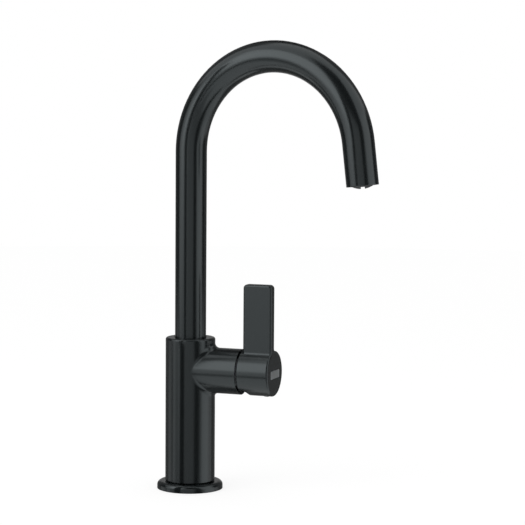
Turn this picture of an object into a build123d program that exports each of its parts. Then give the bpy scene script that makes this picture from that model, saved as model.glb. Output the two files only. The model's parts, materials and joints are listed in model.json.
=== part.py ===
from build123d import *
import os
from math import cos, hypot, radians, sin, sqrt

# Gooseneck bar faucet in millimetres: the origin is on the deck under the column,
# +Z is up and +X is the way the valve arm points.

# Column and base
COLUMN_DIAMETER = 40.0
COLUMN_RISE = 25.9
COLUMN_EDGE = 1.7
COLUMN_FOOT_CHAMFER = 0.8
FLANGE_DIAMETER = 53.0
FLANGE_THICKNESS = 6.4
FLANGE_EDGE = 3.4
SPIGOT_DIAMETER = 34.0
GROOVE_INNER_LIP = 2.0
GROOVE_OUTER_LIP = 2.5
GASKET_THICKNESS = 2.5
GASKET_PROUD = 0.3
FOOT_BORE_DIAMETER = 28.0
FOOT_BORE_TOP = 58.0

# Supply inlets and mounting stud, tapped in the ceiling of the hollow foot
INLET_DIAMETER = 9.0
INLET_DEPTH = 12.0
INLET_SPACING = 13.0
INLET_FORWARD = 3.0
INLET_WAY_DIAMETER = 5.0
STUD_HOLE_DIAMETER = 6.8
STUD_HOLE_DEPTH = 14.0
STUD_BACK = 9.0

# Valve arm and its seam with the lever hub
ARM_HEIGHT = 97.0
ARM_DIAMETER = 36.5
ARM_REACH = 44.5
ARM_FILLET = 2.2
SEAM_GAP = 1.3

# Lever
HUB_LENGTH = 26.4
HUB_BORE_DIAMETER = 32.0
HANDLE_EDGE = 1.6
RIM_CHAMFER = 0.6
BLADE_WIDTH = 24.0
BLADE_THICKNESS = 8.0
BLADE_RISE = 71.0
BLADE_FORWARD = 5.2
BLADE_CORNER = 3.2
BLADE_FOOT_FILLET = 2.5
NOTCH_RADIUS = 5.2
NOTCH_OFFSET = 2.2
STEM_SIDE = 6.0
STEM_COVER = 2.8
SET_SCREW_DIAMETER = 5.0
SET_SCREW_LENGTH = 6.0
PLUG_THICKNESS = 2.5

# Lever pivot, inside the hub so that the rim swings into the arm's round pocket
PIVOT_DEPTH = 10.0
TILT_RANGE = 20.0
PIN_DIAMETER = 2.5
INNER_ARM = 10.5
BALL_DIAMETER = 3.4
STEM_NECK_DIAMETER = 2.6
STEM_BACK = 5.0

# Ceramic mixing cartridge
CARTRIDGE_DIAMETER = 25.0
CARTRIDGE_LENGTH = 29.5
CARTRIDGE_WALL = 1.0
CARTRIDGE_FRONT_WALL = 1.5
NECK_PROUD = 5.5
NECK_DIAMETER = 22.0
NUT_DIAMETER = 30.4
NUT_LENGTH = 4.5
NUT_SLOT = 3.0
BASE_THICKNESS = 4.0
PORT_DIAMETER = 3.4
PORT_RISE = 3.6
PORT_SPREAD = 4.2
OUTLET_DIAMETER = 4.8
OUTLET_DROP = 4.4
SEAL_WALL = 1.0
SEAL_THICKNESS = 1.0
FIXED_DISC_THICKNESS = 3.0
MOVING_DISC_THICKNESS = 3.0
MIXING_POCKET_DIAMETER = 7.8
MIXING_POCKET_DEPTH = 1.4
MIXING_POCKET_DROP = 1.0
COUPLER_PLATE = 1.5
YOKE_HEIGHT = 6.4
CARRIER_DIAMETER = 17.0
CARRIER_FLANGE = 1.3
CARRIER_NOSE = 3.5
CARRIER_NOSE_CHAMFER = 2.0

# Spout tube
TUBE_DIAMETER = 25.0
TUBE_WALL = 1.5
TUBE_EDGE = 0.5
BEND_START = 272.0
BEND_RADIUS = 75.0
BEND_ANGLE = 173.0
TIP_STRAIGHT = 32.8
SPOUT_SWIVEL = -10.0

# Spout swivel in the top of the column
TUBE_RING_GAP = 0.6
COUNTERBORE_DEPTH = 4.0
GLIDE_RING_THICKNESS = 1.5
SWIVEL_BORE_DIAMETER = 21.0
SWIVEL_DEPTH = 18.0
NIPPLE_BORE_DIAMETER = 14.0
NIPPLE_GRIP = 12.0
NIPPLE_LIFT = 1.0
O_RING_SECTION = 1.8
O_RING_INSET = 2.4
LOCK_GROOVE_DEPTH = 1.1
LOCK_SCREW_DIAMETER = 4.0
LOCK_TIP_DIAMETER = 2.2
LOCK_SCREW_SUNK = 1.5

# Aerator in the end of the spout
AERATOR_LENGTH = 11.4
AERATOR_SUNK = 0.6
AERATOR_WASHER = 2.0
INSERT_DIAMETER = 16.6
INSERT_WALL = 1.4
DOME_RISE = 2.2
DOME_WALL = 1.2
COIN_SLOT_WIDTH = 3.2
COIN_SLOT_DEPTH = 1.6
COIN_SLOT_TURN = 62.0
SCREEN_THICKNESS = 1.0
SCREEN_SUNK = 2.5
STREAM_HOLE_DIAMETER = 1.6
STREAM_MARGIN = 0.65

# Clearances
SEATED = 0.05
RUNNING = 0.08
SLIDING = 0.2
SWING = 0.3

column_radius = COLUMN_DIAMETER / 2
column_top = ARM_HEIGHT + COLUMN_RISE
arm_radius = ARM_DIAMETER / 2
tube_radius = TUBE_DIAMETER / 2
tube_bore = tube_radius - TUBE_WALL
cavity_radius = CARTRIDGE_DIAMETER / 2 - CARTRIDGE_WALL
gasket_inner = SPIGOT_DIAMETER / 2 + GROOVE_INNER_LIP
gasket_outer = FLANGE_DIAMETER / 2 - GROOVE_OUTER_LIP
screen_radius = INSERT_DIAMETER / 2 - INSERT_WALL - SEATED
stream_pitch = (screen_radius - STREAM_MARGIN - STREAM_HOLE_DIAMETER / 2) / 2

# The lever's tilt, the way that the moving disc slides with it, and what each needs of room
tilt = radians(TILT_RANGE)
disc_travel = INNER_ARM * tilt
moving_radius = cavity_radius - disc_travel / 2 - SWING
carrier_slot = YOKE_HEIGHT + 2 * (disc_travel + SWING)
nose_reach = CARRIER_NOSE * cos(tilt) + (CARRIER_DIAMETER / 2 - CARRIER_NOSE_CHAMFER) * sin(tilt)

# Stations along the valve axis, as distances from the column's axis
rim = ARM_REACH + SEAM_GAP
hub_end = rim + HUB_LENGTH
pivot = rim + PIVOT_DEPTH
hub_bore_end = pivot + nose_reach + SWING
stem_end = hub_end - STEM_COVER
screw_station = (hub_bore_end + stem_end) / 2
ball_station = pivot - INNER_ARM
neck_end = ARM_REACH + NECK_PROUD
seat = neck_end - CARTRIDGE_LENGTH
base_front = seat + BASE_THICKNESS
fixed_front = base_front + FIXED_DISC_THICKNESS
moving_back = fixed_front + SEATED
moving_front = moving_back + MOVING_DISC_THICKNESS
coupler_front = moving_front + COUPLER_PLATE
carrier_back = coupler_front + SLIDING
carrier_stop = carrier_back + CARRIER_FLANGE + RUNNING
shoulder = carrier_stop + CARTRIDGE_FRONT_WALL
carrier_front = pivot + CARRIER_NOSE
pocket_radius = hypot(PIVOT_DEPTH - RIM_CHAMFER, arm_radius) + SWING

# Heights in the spout swivel
counterbore_floor = column_top - COUNTERBORE_DEPTH
tube_foot = counterbore_floor + GLIDE_RING_THICKNESS + RUNNING
socket_floor = column_top - SWIVEL_DEPTH
nipple_foot = socket_floor + NIPPLE_LIFT
swivel_radius = SWIVEL_BORE_DIAMETER / 2
nipple_radius = swivel_radius - RUNNING
lower_ring_height = nipple_foot + O_RING_INSET
upper_ring_height = counterbore_floor - O_RING_INSET
lock_height = (lower_ring_height + upper_ring_height) / 2
lock_groove_floor = nipple_radius - LOCK_GROOVE_DEPTH

# The valve frame: local x is +Y, local y is +Z and local z runs out along the arm.
VALVE = Plane(origin=(0, 0, ARM_HEIGHT), x_dir=(0, 1, 0), z_dir=(1, 0, 0))

# The spout's own upright plane, turned about the column's axis.
SWIVEL = Rot(0, 0, SPOUT_SWIVEL)

# The spout's end: local z points out of the mouth.
bend = radians(BEND_ANGLE)
tip_direction = Vector(sin(bend), 0, cos(bend))
bend_end = Vector(BEND_RADIUS * (1 - cos(bend)), 0, BEND_START + BEND_RADIUS * sin(bend))
tip_centre = bend_end + tip_direction * TIP_STRAIGHT
TIP = Plane(origin=tip_centre, x_dir=(cos(bend), 0, -sin(bend)), z_dir=tip_direction)

# Inlet ports of the cartridge as (y, z) beside the valve axis, cold then hot
inlet_ports = {"cold": (PORT_SPREAD, PORT_RISE), "hot": (-PORT_SPREAD, PORT_RISE)}
outlet_port = (0, -OUTLET_DROP)


def rod(radius, start, end):
    """A round bar on the local z axis."""
    return Pos(0, 0, (start + end) / 2) * Cylinder(radius, end - start)


def ring(outer, inner, start, end):
    """A round sleeve on the local z axis."""
    return rod(outer, start, end) - rod(inner, start, end)


def bar(width, height, start, end):
    """A rectangular bar on the local z axis."""
    return Pos(0, 0, (start + end) / 2) * Box(width, height, end - start)


def rim_edges(part, height, radius):
    """The round edges of a part at one local height and radius."""
    circles = part.edges().filter_by(GeomType.CIRCLE)
    return [e for e in circles if abs(e.center().Z - height) < 0.01 and abs(e.radius - radius) < 0.01]


def port_holes(start, end):
    """The cartridge's two inlet ports and its outlet port, as bars to cut with."""
    holes = Pos(*outlet_port, 0) * rod(OUTLET_DIAMETER / 2, start, end)
    for place in inlet_ports.values():
        holes += Pos(*place, 0) * rod(PORT_DIAMETER / 2, start, end)
    return holes


# Column

def forging():
    """The column and the valve arm as one outside form, with a soft joint between them."""
    column = rod(column_radius, FLANGE_THICKNESS, column_top)
    column = fillet(rim_edges(column, column_top, column_radius), COLUMN_EDGE)
    column = chamfer(rim_edges(column, FLANGE_THICKNESS, column_radius), COLUMN_FOOT_CHAMFER)
    whole = column + VALVE * rod(arm_radius, 0, ARM_REACH)
    joint = [e for e in whole.edges() if e.geom_type not in (GeomType.CIRCLE, GeomType.LINE)]
    return fillet(joint, ARM_FILLET)


def valve_bores():
    """The cartridge's bore, the nut's thread and the round pocket that the hub swings into."""
    cartridge = rod(CARTRIDGE_DIAMETER / 2 + SLIDING, seat, shoulder)
    nut = rod(NUT_DIAMETER / 2 + SLIDING, shoulder - SLIDING, ARM_REACH)
    pocket = Pos(0, 0, pivot) * Sphere(pocket_radius)
    return VALVE * (cartridge + nut + pocket)


def waterways():
    """The two inlets up from the foot, the outlet to the spout, and the drillings that join them."""
    ways = rod(OUTLET_DIAMETER / 2, ARM_HEIGHT - OUTLET_DROP, socket_floor)
    ways += VALVE * (Pos(*outlet_port, 0) * rod(OUTLET_DIAMETER / 2, 0, seat))
    for across, up in inlet_ports.values():
        place = Pos(INLET_FORWARD, across / abs(across) * INLET_SPACING / 2, 0)
        ways += place * rod(INLET_DIAMETER / 2, FOOT_BORE_TOP, FOOT_BORE_TOP + INLET_DEPTH)
        ways += place * rod(INLET_WAY_DIAMETER / 2, FOOT_BORE_TOP, ARM_HEIGHT + up)
        ways += VALVE * (Pos(across, up, 0) * rod(PORT_DIAMETER / 2, INLET_FORWARD, seat))
    return ways


def column_body():
    """The hollow column with its valve arm, swivel socket, foot and tapped holes."""
    spigot = rod(SPIGOT_DIAMETER / 2, 0, FLANGE_THICKNESS)
    body = forging() + spigot
    body -= rod(FOOT_BORE_DIAMETER / 2, 0, FOOT_BORE_TOP)
    stud_hole = rod(STUD_HOLE_DIAMETER / 2, FOOT_BORE_TOP, FOOT_BORE_TOP + STUD_HOLE_DEPTH)
    body -= Pos(-STUD_BACK, 0, 0) * stud_hole
    body -= rod(tube_radius + TUBE_RING_GAP, counterbore_floor, column_top)
    body -= rod(swivel_radius, socket_floor, counterbore_floor)
    lock_hole = rod(LOCK_SCREW_DIAMETER / 2 + SEATED, 0, column_radius)
    body -= Pos(0, 0, lock_height) * Rot(0, -90, 0) * lock_hole
    return body - valve_bores() - waterways()


def base_flange():
    """The turned flange that covers the deck hole, with a groove below for the gasket."""
    radius = FLANGE_DIAMETER / 2
    flange = ring(radius, SPIGOT_DIAMETER / 2 + SEATED, GASKET_PROUD, FLANGE_THICKNESS)
    flange = fillet(rim_edges(flange, FLANGE_THICKNESS, radius), FLANGE_EDGE)
    return flange - ring(gasket_outer + SEATED, gasket_inner - SEATED, GASKET_PROUD, GASKET_THICKNESS)


def base_gasket():
    """The rubber ring under the flange, which stands a little proud on the deck."""
    return ring(gasket_outer, gasket_inner, 0, GASKET_THICKNESS)


def glide_ring():
    """The plastic ring that the spout turns on."""
    outer = tube_radius + TUBE_RING_GAP - SEATED
    return ring(outer, swivel_radius, counterbore_floor, counterbore_floor + GLIDE_RING_THICKNESS)


def spout_lock_screw():
    """The grub screw at the back whose tip runs in the nipple's groove."""
    tip_start = lock_groove_floor + SLIDING
    body_start = swivel_radius + SLIDING
    screw = rod(LOCK_SCREW_DIAMETER / 2, body_start, column_radius - LOCK_SCREW_SUNK)
    screw += rod(LOCK_TIP_DIAMETER / 2, tip_start, body_start)
    return Pos(0, 0, lock_height) * Rot(0, -90, 0) * screw


# Cartridge, fixed pieces

def cartridge_base():
    """The base plate on the valve seat, with a recess for each port's seal."""
    base = rod(CARTRIDGE_DIAMETER / 2, seat, base_front) - port_holes(seat, base_front)
    for place, hole in port_places():
        base -= Pos(*place, 0) * rod(hole / 2 + SEAL_WALL + SEATED, seat, seat + SEAL_THICKNESS)
    return VALVE * base


def port_places():
    """Each port's place beside the valve axis with its bore."""
    places = [(place, PORT_DIAMETER) for place in inlet_ports.values()]
    return places + [(outlet_port, OUTLET_DIAMETER)]


def port_seal(place, hole):
    """The rubber ring that seals one port on the valve seat."""
    seal = ring(hole / 2 + SEAL_WALL, hole / 2, seat, seat + SEAL_THICKNESS)
    return VALVE * (Pos(*place, 0) * seal)


def fixed_disc():
    """The ceramic disc that stays on the base."""
    disc = rod(cavity_radius - SLIDING, base_front, fixed_front)
    return VALVE * (disc - port_holes(base_front, fixed_front))


def cartridge_shell():
    """The cartridge's plastic housing, with the neck that guides the carrier."""
    shell = rod(CARTRIDGE_DIAMETER / 2, base_front, shoulder)
    shell += rod(NECK_DIAMETER / 2, shoulder, neck_end)
    shell -= rod(cavity_radius, base_front, carrier_stop)
    shell -= rod(CARRIER_DIAMETER / 2 + RUNNING, carrier_stop, neck_end)
    return VALVE * shell


def cartridge_nut():
    """The ring nut that clamps the cartridge, with two slots for a pin wrench."""
    front = shoulder + NUT_LENGTH
    nut = ring(NUT_DIAMETER / 2, NECK_DIAMETER / 2 + SLIDING, shoulder, front)
    slot = Pos(0, 0, front) * Box(NUT_DIAMETER, NUT_SLOT, NUT_LENGTH)
    return VALVE * (nut - slot)


# Cartridge, moving pieces

def mixing_carrier():
    """The carrier that turns with the lever, slotted for the stem and cross-drilled for its pin."""
    radius = CARRIER_DIAMETER / 2
    carrier = rod(radius, carrier_back, carrier_front)
    carrier = chamfer(rim_edges(carrier, carrier_front, radius), CARRIER_NOSE_CHAMFER)
    carrier += rod(cavity_radius - SLIDING, carrier_back, carrier_stop - RUNNING)
    carrier -= bar(STEM_SIDE + 2 * SLIDING, carrier_slot, carrier_back, carrier_front)
    return VALVE * (carrier - pin_bar(PIN_DIAMETER / 2, CARRIER_DIAMETER))


def pin_bar(radius, length):
    """A bar across the valve axis at the pivot."""
    return Pos(0, 0, pivot) * Rot(0, 90, 0) * Cylinder(radius, length)


def pin_length():
    """The pin's length, so that its ends stay inside the carrier's round side."""
    return 2 * sqrt((CARRIER_DIAMETER / 2) ** 2 - (PIN_DIAMETER / 2) ** 2)


def stem_pin():
    """The steel pin that the lever tilts on."""
    return VALVE * pin_bar(PIN_DIAMETER / 2, pin_length())


def moving_disc():
    """The ceramic disc that slides and turns, shut at rest, with the mixing pocket in its back."""
    disc = rod(moving_radius, moving_back, moving_front)
    pocket = rod(MIXING_POCKET_DIAMETER / 2, moving_back, moving_back + MIXING_POCKET_DEPTH)
    disc -= Pos(0, -MIXING_POCKET_DROP, 0) * pocket
    return VALVE * (Pos(0, -disc_travel / 2, 0) * disc)


def disc_coupler():
    """The plate on the moving disc, with the forked yoke that the stem's ball works in."""
    reach = ball_station + BALL_DIAMETER / 2
    coupler = Pos(0, -disc_travel / 2, 0) * rod(moving_radius, moving_front, coupler_front)
    coupler += bar(STEM_SIDE, YOKE_HEIGHT, moving_front, reach)
    ball_way = BALL_DIAMETER + 2 * RUNNING
    return VALVE * (coupler - bar(STEM_SIDE, ball_way, ball_station - BALL_DIAMETER, reach))


# Lever

def blade_foot(face, side):
    """Where one face of the blade starts above the hub, and where its hollow fillet meets the hub."""
    centre = face + side * BLADE_FOOT_FILLET
    reach = arm_radius + BLADE_FOOT_FILLET
    start = sqrt(reach ** 2 - centre ** 2)
    share = arm_radius / reach
    return (face, start), (centre * share, start * share)


def handle_section():
    """The handle's outline from its end: the round hub with the blade forward of the valve axis."""
    front = -BLADE_FORWARD - BLADE_THICKNESS / 2
    back = front + BLADE_THICKNESS
    front_start, front_toe = blade_foot(front, -1)
    back_start, back_toe = blade_foot(back, 1)
    outline = [
        ThreePointArc(front_toe, (0, -arm_radius), back_toe),
        TangentArc(back_start, back_toe, tangent=(0, -1)),
        Polyline(back_start, (back, BLADE_RISE), (front, BLADE_RISE), front_start),
        TangentArc(front_start, front_toe, tangent=(0, -1)),
    ]
    return make_face(Curve() + outline)


def handle_head():
    """The blade and the part of the hub under it, with round top corners and softened edges."""
    head = Pos(0, 0, hub_end - BLADE_WIDTH) * extrude(handle_section(), BLADE_WIDTH)
    top_ends = head.edges().filter_by(Axis.X).group_by(Axis.Y)[-1]
    head = fillet(top_ends, BLADE_CORNER)
    faces = head.faces().filter_by(Plane.YZ)
    outline = [e for face in faces for e in face.edges().sort_by(Axis.Y)[1:]]
    return fillet(outline, HANDLE_EDGE)


def lever_handle():
    """The hub and its blade in one piece, hollow behind, with the notch under the rim."""
    hub = rod(arm_radius, rim, hub_end - BLADE_WIDTH / 2)
    hub = chamfer(rim_edges(hub, rim, arm_radius), RIM_CHAMFER)
    handle = hub + handle_head()
    handle -= rod(HUB_BORE_DIAMETER / 2, rim, hub_bore_end)
    handle -= bar(STEM_SIDE + 2 * SEATED, STEM_SIDE + 2 * SEATED, hub_bore_end, stem_end + SLIDING)
    handle -= screw_bar(SET_SCREW_DIAMETER / 2 + SEATED, 0, arm_radius)
    notch = Rot(0, 90, 0) * Cylinder(NOTCH_RADIUS, ARM_DIAMETER)
    return VALVE * (handle - Pos(0, -arm_radius, rim + NOTCH_OFFSET) * notch)


def screw_bar(radius, start, end):
    """A bar down from the valve axis at the set screw's station."""
    return Pos(0, 0, screw_station) * Rot(90, 0, 0) * rod(radius, start, end)


def lever_stem():
    """The square stem, with the pin's hole and the ball that drives the yoke."""
    back = pivot - STEM_BACK
    stem = bar(STEM_SIDE, STEM_SIDE, back, stem_end)
    stem += rod(STEM_NECK_DIAMETER / 2, ball_station, back)
    stem += Pos(0, 0, ball_station) * Sphere(BALL_DIAMETER / 2)
    return VALVE * (stem - pin_bar(PIN_DIAMETER / 2 + RUNNING, STEM_SIDE))


def lever_set_screw():
    """The grub screw that holds the hub on the stem."""
    start = STEM_SIDE / 2 + SEATED
    return VALVE * screw_bar(SET_SCREW_DIAMETER / 2, start, start + SET_SCREW_LENGTH)


def lever_screw_plug():
    """The plug that closes the set screw's hole under the hub."""
    plug = screw_bar(SET_SCREW_DIAMETER / 2, arm_radius - PLUG_THICKNESS, arm_radius)
    return VALVE * (plug & rod(arm_radius, rim, hub_end))


# Spout

def tube_run(radius):
    """A solid bar of one radius along the riser, the bend and the straight end."""
    riser = rod(radius, tube_foot, BEND_START)
    section = Pos(0, 0, BEND_START) * Circle(radius)
    bend_axis = Axis((BEND_RADIUS, 0, BEND_START), (0, 1, 0))
    arch = revolve(section, bend_axis, BEND_ANGLE)
    end = TIP * rod(radius, -TIP_STRAIGHT, 0)
    return riser + arch + end


def spout_tube():
    """The bent tube, with softened edges at its foot and mouth."""
    outside = tube_run(tube_radius)
    ends = outside.edges().filter_by(GeomType.CIRCLE)
    foot = ends.sort_by(Axis.Z)[0]
    mouth = ends.sort_by_distance(TIP.origin)[0]
    outside = fillet([foot, mouth], TUBE_EDGE)
    return SWIVEL * (outside - tube_run(tube_bore))


def swivel_nipple():
    """The brass nipple in the tube's foot, grooved for two sealing rings and the lock screw."""
    nipple = rod(nipple_radius, nipple_foot, tube_foot)
    nipple += rod(tube_bore - SEATED, tube_foot, tube_foot + NIPPLE_GRIP)
    for height in (lower_ring_height, upper_ring_height):
        half = O_RING_SECTION / 2 + SLIDING
        floor = swivel_radius - O_RING_SECTION - 2 * SEATED
        nipple -= ring(swivel_radius, floor, height - half, height + half)
    half = LOCK_TIP_DIAMETER / 2 + SLIDING
    nipple -= ring(swivel_radius, lock_groove_floor, lock_height - half, lock_height + half)
    return SWIVEL * (nipple - rod(NIPPLE_BORE_DIAMETER / 2, nipple_foot, tube_foot + NIPPLE_GRIP))


def swivel_o_ring(height):
    """A rubber ring in one of the nipple's grooves."""
    return Pos(0, 0, height) * Torus(swivel_radius - SEATED - O_RING_SECTION / 2, O_RING_SECTION / 2)


def aerator_washer():
    """The rubber washer above the aerator."""
    back = -AERATOR_SUNK - AERATOR_LENGTH
    washer = ring(tube_bore - SEATED, INSERT_DIAMETER / 2 - INSERT_WALL, back - AERATOR_WASHER, back)
    return SWIVEL * (TIP * washer)


def aerator_sleeve():
    """The threaded sleeve fixed in the spout's mouth."""
    back = -AERATOR_SUNK - AERATOR_LENGTH
    sleeve = ring(tube_bore - SEATED, INSERT_DIAMETER / 2 + SEATED, back, -AERATOR_SUNK)
    return SWIVEL * (TIP * sleeve)


def stream_holes(start, end):
    """Two rounds of small holes about a middle one, as bars to cut with."""
    hole = rod(STREAM_HOLE_DIAMETER / 2, start, end)
    holes = hole
    for row in (1, 2):
        for step in range(6 * row):
            holes += Rot(0, 0, step * 60 / row) * Pos(row * stream_pitch, 0, 0) * hole
    return holes


def aerator_insert():
    """The insert, whose domed face has the stream's holes and a slot for a coin."""
    outer = INSERT_DIAMETER / 2
    dome_radius = (outer ** 2 + DOME_RISE ** 2) / (2 * DOME_RISE)
    dome_centre = Pos(0, 0, DOME_RISE - dome_radius)
    insert = rod(outer, -AERATOR_SUNK - AERATOR_LENGTH, DOME_RISE) & dome_centre * Sphere(dome_radius)
    hollow = rod(outer - INSERT_WALL, -AERATOR_SUNK - AERATOR_LENGTH, DOME_RISE)
    insert -= hollow & dome_centre * Sphere(dome_radius - DOME_WALL)
    insert -= stream_holes(-DOME_RISE, DOME_RISE)
    slot = Box(INSERT_DIAMETER, COIN_SLOT_WIDTH, 2 * COIN_SLOT_DEPTH)
    insert -= Pos(0, 0, DOME_RISE) * Rot(0, 0, COIN_SLOT_TURN) * slot
    return SWIVEL * (TIP * insert)


def aerator_screen():
    """The perforated disc behind the insert's face."""
    front = -SCREEN_SUNK
    screen = rod(screen_radius, front - SCREEN_THICKNESS, front)
    return SWIVEL * (TIP * (screen - stream_holes(front - SCREEN_THICKNESS, front)))


def pieces():
    """Every sub-part by name."""
    made = {
        "column_body": column_body(),
        "base_flange": base_flange(),
        "base_gasket": base_gasket(),
        "glide_ring": glide_ring(),
        "spout_lock_screw": spout_lock_screw(),
        "cartridge_base": cartridge_base(),
        "fixed_disc": fixed_disc(),
        "cartridge_shell": cartridge_shell(),
        "cartridge_nut": cartridge_nut(),
        "mixing_carrier": mixing_carrier(),
        "stem_pin": stem_pin(),
        "moving_disc": moving_disc(),
        "disc_coupler": disc_coupler(),
        "lever_handle": lever_handle(),
        "lever_stem": lever_stem(),
        "lever_set_screw": lever_set_screw(),
        "lever_screw_plug": lever_screw_plug(),
        "spout_tube": spout_tube(),
        "swivel_nipple": swivel_nipple(),
        "swivel_o_ring_lower": swivel_o_ring(lower_ring_height),
        "swivel_o_ring_upper": swivel_o_ring(upper_ring_height),
        "aerator_washer": aerator_washer(),
        "aerator_sleeve": aerator_sleeve(),
        "aerator_insert": aerator_insert(),
        "aerator_screen": aerator_screen(),
    }
    for (place, hole), name in zip(port_places(), ("cold", "hot", "outlet")):
        made[f"{name}_port_seal"] = port_seal(place, hole)
    return made


os.makedirs("parts", exist_ok=True)
for name, piece in pieces().items():
    export_step(piece, f"parts/{name}.step")
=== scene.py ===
import json
from math import ceil, cos, hypot, pi, radians, sin, sqrt, tan

import bmesh
import bpy
from bpy.props import FloatProperty, FloatVectorProperty, IntProperty, PointerProperty
from mathutils import Matrix, Vector


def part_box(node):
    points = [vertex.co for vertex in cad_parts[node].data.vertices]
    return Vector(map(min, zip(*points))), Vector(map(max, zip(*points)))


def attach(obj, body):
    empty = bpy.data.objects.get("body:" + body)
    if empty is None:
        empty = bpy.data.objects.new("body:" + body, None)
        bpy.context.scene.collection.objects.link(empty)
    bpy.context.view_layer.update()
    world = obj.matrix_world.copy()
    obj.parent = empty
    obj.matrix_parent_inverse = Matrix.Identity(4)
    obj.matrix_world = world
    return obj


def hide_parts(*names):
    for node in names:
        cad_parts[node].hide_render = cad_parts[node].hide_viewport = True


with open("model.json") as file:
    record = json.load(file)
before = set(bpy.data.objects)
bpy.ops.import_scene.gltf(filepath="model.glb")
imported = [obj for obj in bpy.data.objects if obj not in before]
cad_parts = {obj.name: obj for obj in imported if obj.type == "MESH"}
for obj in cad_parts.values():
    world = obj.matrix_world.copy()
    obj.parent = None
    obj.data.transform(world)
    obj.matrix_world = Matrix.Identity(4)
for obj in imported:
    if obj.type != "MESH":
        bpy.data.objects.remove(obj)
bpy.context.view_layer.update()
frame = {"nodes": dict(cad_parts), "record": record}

bl_info = {
    "name": "Bar Faucet",
    "version": (1, 0, 0),
    "blender": (4, 5, 0),
    "location": "View3D > Sidebar > Faucet",
    "description": "Finishes, small fasteners and studio of a gooseneck bar faucet",
    "category": "Object",
}

MM = 0.001
WHITE = (1.0, 1.0, 1.0, 1.0)
COATING = "satin_black_coating"

# How finely round shapes are drawn
BAR_SIDES = 64
HUB_SIDES = 256
FLOOR_SIDES = 96
BEVEL_STEPS = 2
THREAD_STEPS = 48
COVE_CUTS = 240
COVE_STEPS = 24
SMOOTH_ANGLE = radians(32)

# Limits used where parts of a mesh are picked, cut and merged
SAME_HEIGHT = 0.01 * MM
SAME_HUB = 0.02 * MM
MERGE_THREAD = 0.001 * MM
MERGE_PLUG = 0.002 * MM
CUT_THRESHOLD = 1e-7
FLAT = 0.99
FEWEST_FACES = 12

# Which CAD nodes take which finish
COATED = ("column_body", "base_flange", "spout_tube", "lever_handle")
RUBBER = ("base_gasket", "swivel_o_ring_lower", "swivel_o_ring_upper", "aerator_washer",
          "cold_port_seal", "hot_port_seal", "outlet_port_seal")
CERAMIC = ("fixed_disc", "moving_disc")
CARTRIDGE_PLASTIC = ("cartridge_base", "cartridge_shell", "mixing_carrier", "disc_coupler")
AERATOR_PLASTIC = ("aerator_insert", "aerator_screen")

# Axes that the turned pieces were cut about
UPRIGHT = (0.0, 0.0, 1.0)
ALONG_ARM = (1.0, 0.0, 0.0)
ACROSS_ARM = (0.0, 1.0, 0.0)
SPOUT_MOUTH = (0.120, -0.0212, -0.9925)
BRASSWORK = {"swivel_nipple": UPRIGHT, "aerator_sleeve": SPOUT_MOUTH, "lever_stem": ALONG_ARM}


def colour(name, about, default):
    """A colour that the sidebar shows as a swatch."""
    return FloatVectorProperty(name=name, description=about, default=default, size=3,
                               subtype="COLOR", min=0.0, max=1.0)


def share(name, about, default):
    """A number from nought to one."""
    return FloatProperty(name=name, description=about, default=default, min=0.0, max=1.0, subtype="FACTOR")


def length(name, about, default):
    """A length in metres."""
    return FloatProperty(name=name, description=about, default=default, min=0.0,
                         subtype="DISTANCE", unit="LENGTH", precision=5)


def turn(name, about, default):
    """An angle, given in degrees."""
    return FloatProperty(name=name, description=about, default=radians(default),
                         subtype="ANGLE", unit="ROTATION")


def number(name, about, default):
    """A number without a unit."""
    return FloatProperty(name=name, description=about, default=default, min=0.0)


class FaucetFinishes(bpy.types.PropertyGroup):
    """Colours and gloss of every finish on the faucet"""

    coating: colour("Black coating", "Body colour of the satin black coating", (0.0054, 0.0068, 0.0072))
    coating_sheen: colour("Coating sheen", "Tint of the light that the coating reflects", (0.87, 0.972, 1.0))
    coating_gloss: share("Coating reflectance", "Specular level of the coating", 0.64)
    coating_roughness: share("Coating roughness", "Mean roughness of the coating", 0.22)
    coating_grain: length("Coating grain", "Size of the sprayed grain", 0.45 * MM)
    rubber: colour("Rubber", "Colour of the seals", (0.022, 0.022, 0.023))
    ceramic: colour("Ceramic", "Colour of the valve discs", (0.84, 0.82, 0.77))
    acetal: colour("Acetal", "Colour of the glide ring", (0.80, 0.80, 0.77))
    cartridge: colour("Cartridge plastic", "Colour of the cartridge's plastic", (0.30, 0.32, 0.34))
    aerator: colour("Aerator plastic", "Colour of the aerator's plastic", (0.040, 0.042, 0.044))
    brass: colour("Brass", "Colour of the turned brass", (0.70, 0.50, 0.22))
    steel: colour("Steel", "Colour of the pin and the screws", (0.56, 0.56, 0.55))
    # The nut's near-black is partly its own colour and partly painted shade, which darkens the seam between
    # the arm and the hub
    black_and_seam_shade: colour("Blackened nut", "Colour of the blackened cartridge nut", (0.0040, 0.0045, 0.0050))
    plate: colour("Plate", "Colour of the bare plate on the handle's end", (0.50, 0.52, 0.53))


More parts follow.
